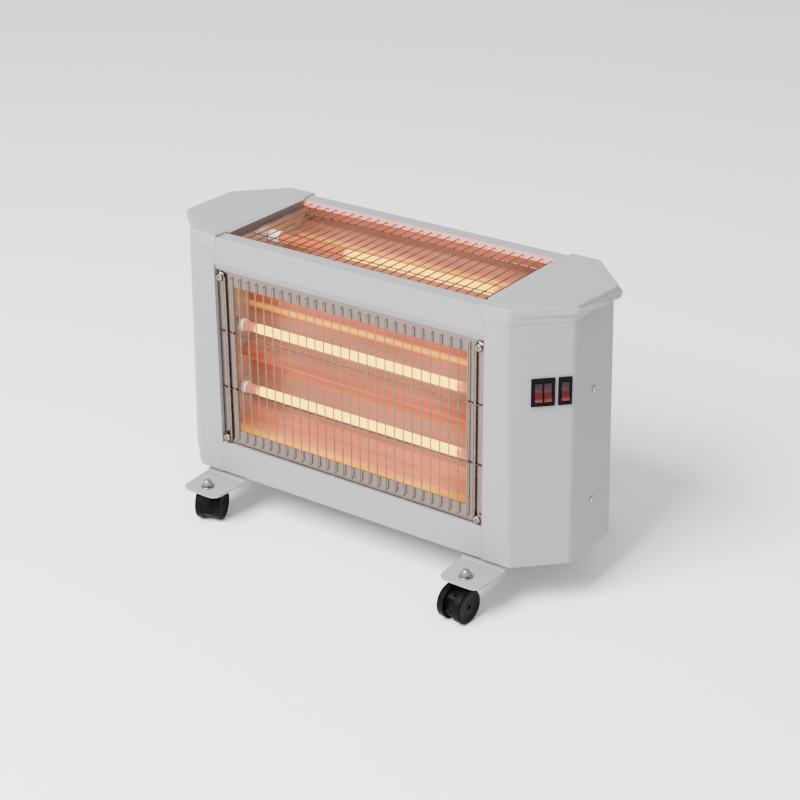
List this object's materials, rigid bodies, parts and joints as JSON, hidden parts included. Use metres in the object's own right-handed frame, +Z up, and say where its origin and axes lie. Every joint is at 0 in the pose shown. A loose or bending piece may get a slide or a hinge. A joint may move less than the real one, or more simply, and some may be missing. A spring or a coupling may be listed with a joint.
{
  "type": "quartz heater",
  "caption": "Portable electric quartz heater with a wire-fronted window, a top grille, rocker switches on a cut corner and swivelling twin-wheel castors.",
  "frame": {"origin": "centre of the object's footprint, on the floor", "axes": "+X along the body to its right end, +Y to its rear, +Z up; the window faces -Y"},
  "size_m": [0.537, 0.3044, 0.3495],
  "materials": {
    "powder_coated_steel": "light grey powder coat, satin",
    "moulded_cap_plastic": "light grey moulded plastic, satin",
    "polished_reflector": "polished reflector sheet",
    "galvanised_sheet": "plain galvanised sheet",
    "chromed_wire": "chromed steel wire",
    "quartz_glass": "clear quartz tube",
    "glowing_coil": "glowing resistance coil",
    "white_ceramic": "unglazed steatite",
    "black_plastic": "black moulded plastic",
    "red_translucent_plastic": "dark red translucent plastic",
    "zinc_plated_steel": "bright zinc plate",
    "cable_insulation": "grey cable insulation"
  },
  "bodies": {
    "heater": {"bottom_pan": "powder_coated_steel", "bracket_left": "powder_coated_steel", "bracket_right": "powder_coated_steel", "castor_stem_front_left": "zinc_plated_steel", "castor_stem_front_right": "zinc_plated_steel", "castor_stem_rear_left": "zinc_plated_steel", "castor_stem_rear_right": "zinc_plated_steel", "ceramic_holder_front_lower_left": "white_ceramic", "ceramic_holder_front_lower_right": "white_ceramic", "ceramic_holder_front_upper_left": "white_ceramic", "ceramic_holder_front_upper_right": "white_ceramic", "ceramic_holder_top_left": "white_ceramic", "ceramic_holder_top_right": "white_ceramic", "cord_inlet": "black_plastic", "double_switch_housing": "black_plastic", "end_cap_left": "moulded_cap_plastic", "end_cap_right": "moulded_cap_plastic", "end_plate_left": "galvanised_sheet", "end_plate_right": "galvanised_sheet", "front_bottom_rail": "powder_coated_steel", "front_grille": "chromed_wire", "front_reflector": "polished_reflector", "front_top_rail": "powder_coated_steel", "heating_coil_front_lower": "glowing_coil", "heating_coil_front_upper": "glowing_coil", "heating_coil_top": "glowing_coil", "quartz_tube_front_lower": "quartz_glass", "quartz_tube_front_upper": "quartz_glass", "quartz_tube_top": "quartz_glass", "rear_panel": "powder_coated_steel", "rear_top_rail": "powder_coated_steel", "reflector_frame": "polished_reflector", "side_panel_left": "powder_coated_steel", "side_panel_right": "powder_coated_steel", "side_screw_left_lower": "zinc_plated_steel", "side_screw_left_upper": "zinc_plated_steel", "side_screw_right_lower": "zinc_plated_steel", "side_screw_right_upper": "zinc_plated_steel", "single_switch_housing": "black_plastic", "terminal_block": "white_ceramic", "tilt_switch": "black_plastic", "top_grille": "chromed_wire", "top_reflector": "polished_reflector", "wiring_harness": "cable_insulation"},
    "rocker_left": {"rocker_left": "red_translucent_plastic"},
    "rocker_middle": {"rocker_middle": "red_translucent_plastic"},
    "rocker_right": {"rocker_right": "red_translucent_plastic"},
    "castor_front_left": {"castor_body_front_left": "black_plastic"},
    "wheel_front_left_inner": {"castor_wheel_front_left_inner": "black_plastic"},
    "wheel_front_left_outer": {"castor_wheel_front_left_outer": "black_plastic"},
    "castor_front_right": {"castor_body_front_right": "black_plastic"},
    "wheel_front_right_inner": {"castor_wheel_front_right_inner": "black_plastic"},
    "wheel_front_right_outer": {"castor_wheel_front_right_outer": "black_plastic"},
    "castor_rear_left": {"castor_body_rear_left": "black_plastic"},
    "wheel_rear_left_inner": {"castor_wheel_rear_left_inner": "black_plastic"},
    "wheel_rear_left_outer": {"castor_wheel_rear_left_outer": "black_plastic"},
    "castor_rear_right": {"castor_body_rear_right": "black_plastic"},
    "wheel_rear_right_inner": {"castor_wheel_rear_right_inner": "black_plastic"},
    "wheel_rear_right_outer": {"castor_wheel_rear_right_outer": "black_plastic"}
  },
  "joints": [
    {"name": "rocker_left_tilt", "type": "hinge", "parent": "heater", "child": "rocker_left", "pos_m": [0.23479, -0.06833, 0.25694], "axis": [0.7071, 0.7071, 0], "range_deg": [0, 20]},
    {"name": "rocker_middle_tilt", "type": "hinge", "parent": "heater", "child": "rocker_middle", "pos_m": [0.24172, -0.0614, 0.25694], "axis": [0.7071, 0.7071, 0], "range_deg": [0, 20]},
    {"name": "rocker_right_tilt", "type": "hinge", "parent": "heater", "child": "rocker_right", "pos_m": [0.2548, -0.04832, 0.25694], "axis": [0.7071, 0.7071, 0], "range_deg": [0, 20]},
    {"name": "castor_front_left_swivel", "type": "hinge", "parent": "heater", "child": "castor_front_left", "pos_m": [-0.181, -0.119, 0.044], "axis": [0, 0, 1], "continuous": true},
    {"name": "wheel_front_left_inner_roll", "type": "hinge", "parent": "castor_front_left", "child": "wheel_front_left_inner", "pos_m": [-0.18568, -0.10741, 0.01983], "axis": [0.9272, 0.3746, 0], "continuous": true},
    {"name": "wheel_front_left_outer_roll", "type": "hinge", "parent": "castor_front_left", "child": "wheel_front_left_outer", "pos_m": [-0.18568, -0.10741, 0.01983], "axis": [0.9272, 0.3746, 0], "continuous": true},
    {"name": "castor_front_right_swivel", "type": "hinge", "parent": "heater", "child": "castor_front_right", "pos_m": [0.181, -0.119, 0.044], "axis": [0, 0, 1], "continuous": true},
    {"name": "wheel_front_right_inner_roll", "type": "hinge", "parent": "castor_front_right", "child": "wheel_front_right_inner", "pos_m": [0.18013, -0.13147, 0.01983], "axis": [-0.9976, 0.0698, 0], "continuous": true},
    {"name": "wheel_front_right_outer_roll", "type": "hinge", "parent": "castor_front_right", "child": "wheel_front_right_outer", "pos_m": [0.18013, -0.13147, 0.01983], "axis": [-0.9976, 0.0698, 0], "continuous": true},
    {"name": "castor_rear_left_swivel", "type": "hinge", "parent": "heater", "child": "castor_rear_left", "pos_m": [-0.181, 0.119, 0.044], "axis": [0, 0, 1], "continuous": true},
    {"name": "wheel_rear_left_inner_roll", "type": "hinge", "parent": "castor_rear_left", "child": "wheel_rear_left_inner", "pos_m": [-0.18568, 0.10741, 0.01983], "axis": [-0.9272, 0.3746, 0], "continuous": true},
    {"name": "wheel_rear_left_outer_roll", "type": "hinge", "parent": "castor_rear_left", "child": "wheel_rear_left_outer", "pos_m": [-0.18568, 0.10741, 0.01983], "axis": [-0.9272, 0.3746, 0], "continuous": true},
    {"name": "castor_rear_right_swivel", "type": "hinge", "parent": "heater", "child": "castor_rear_right", "pos_m": [0.181, 0.119, 0.044], "axis": [0, 0, 1], "continuous": true},
    {"name": "wheel_rear_right_inner_roll", "type": "hinge", "parent": "castor_rear_right", "child": "wheel_rear_right_inner", "pos_m": [0.18013, 0.13147, 0.01983], "axis": [0.9976, 0.0698, 0], "continuous": true},
    {"name": "wheel_rear_right_outer_roll", "type": "hinge", "parent": "castor_rear_right", "child": "wheel_rear_right_outer", "pos_m": [0.18013, 0.13147, 0.01983], "axis": [0.9976, 0.0698, 0], "continuous": true}
  ]
}
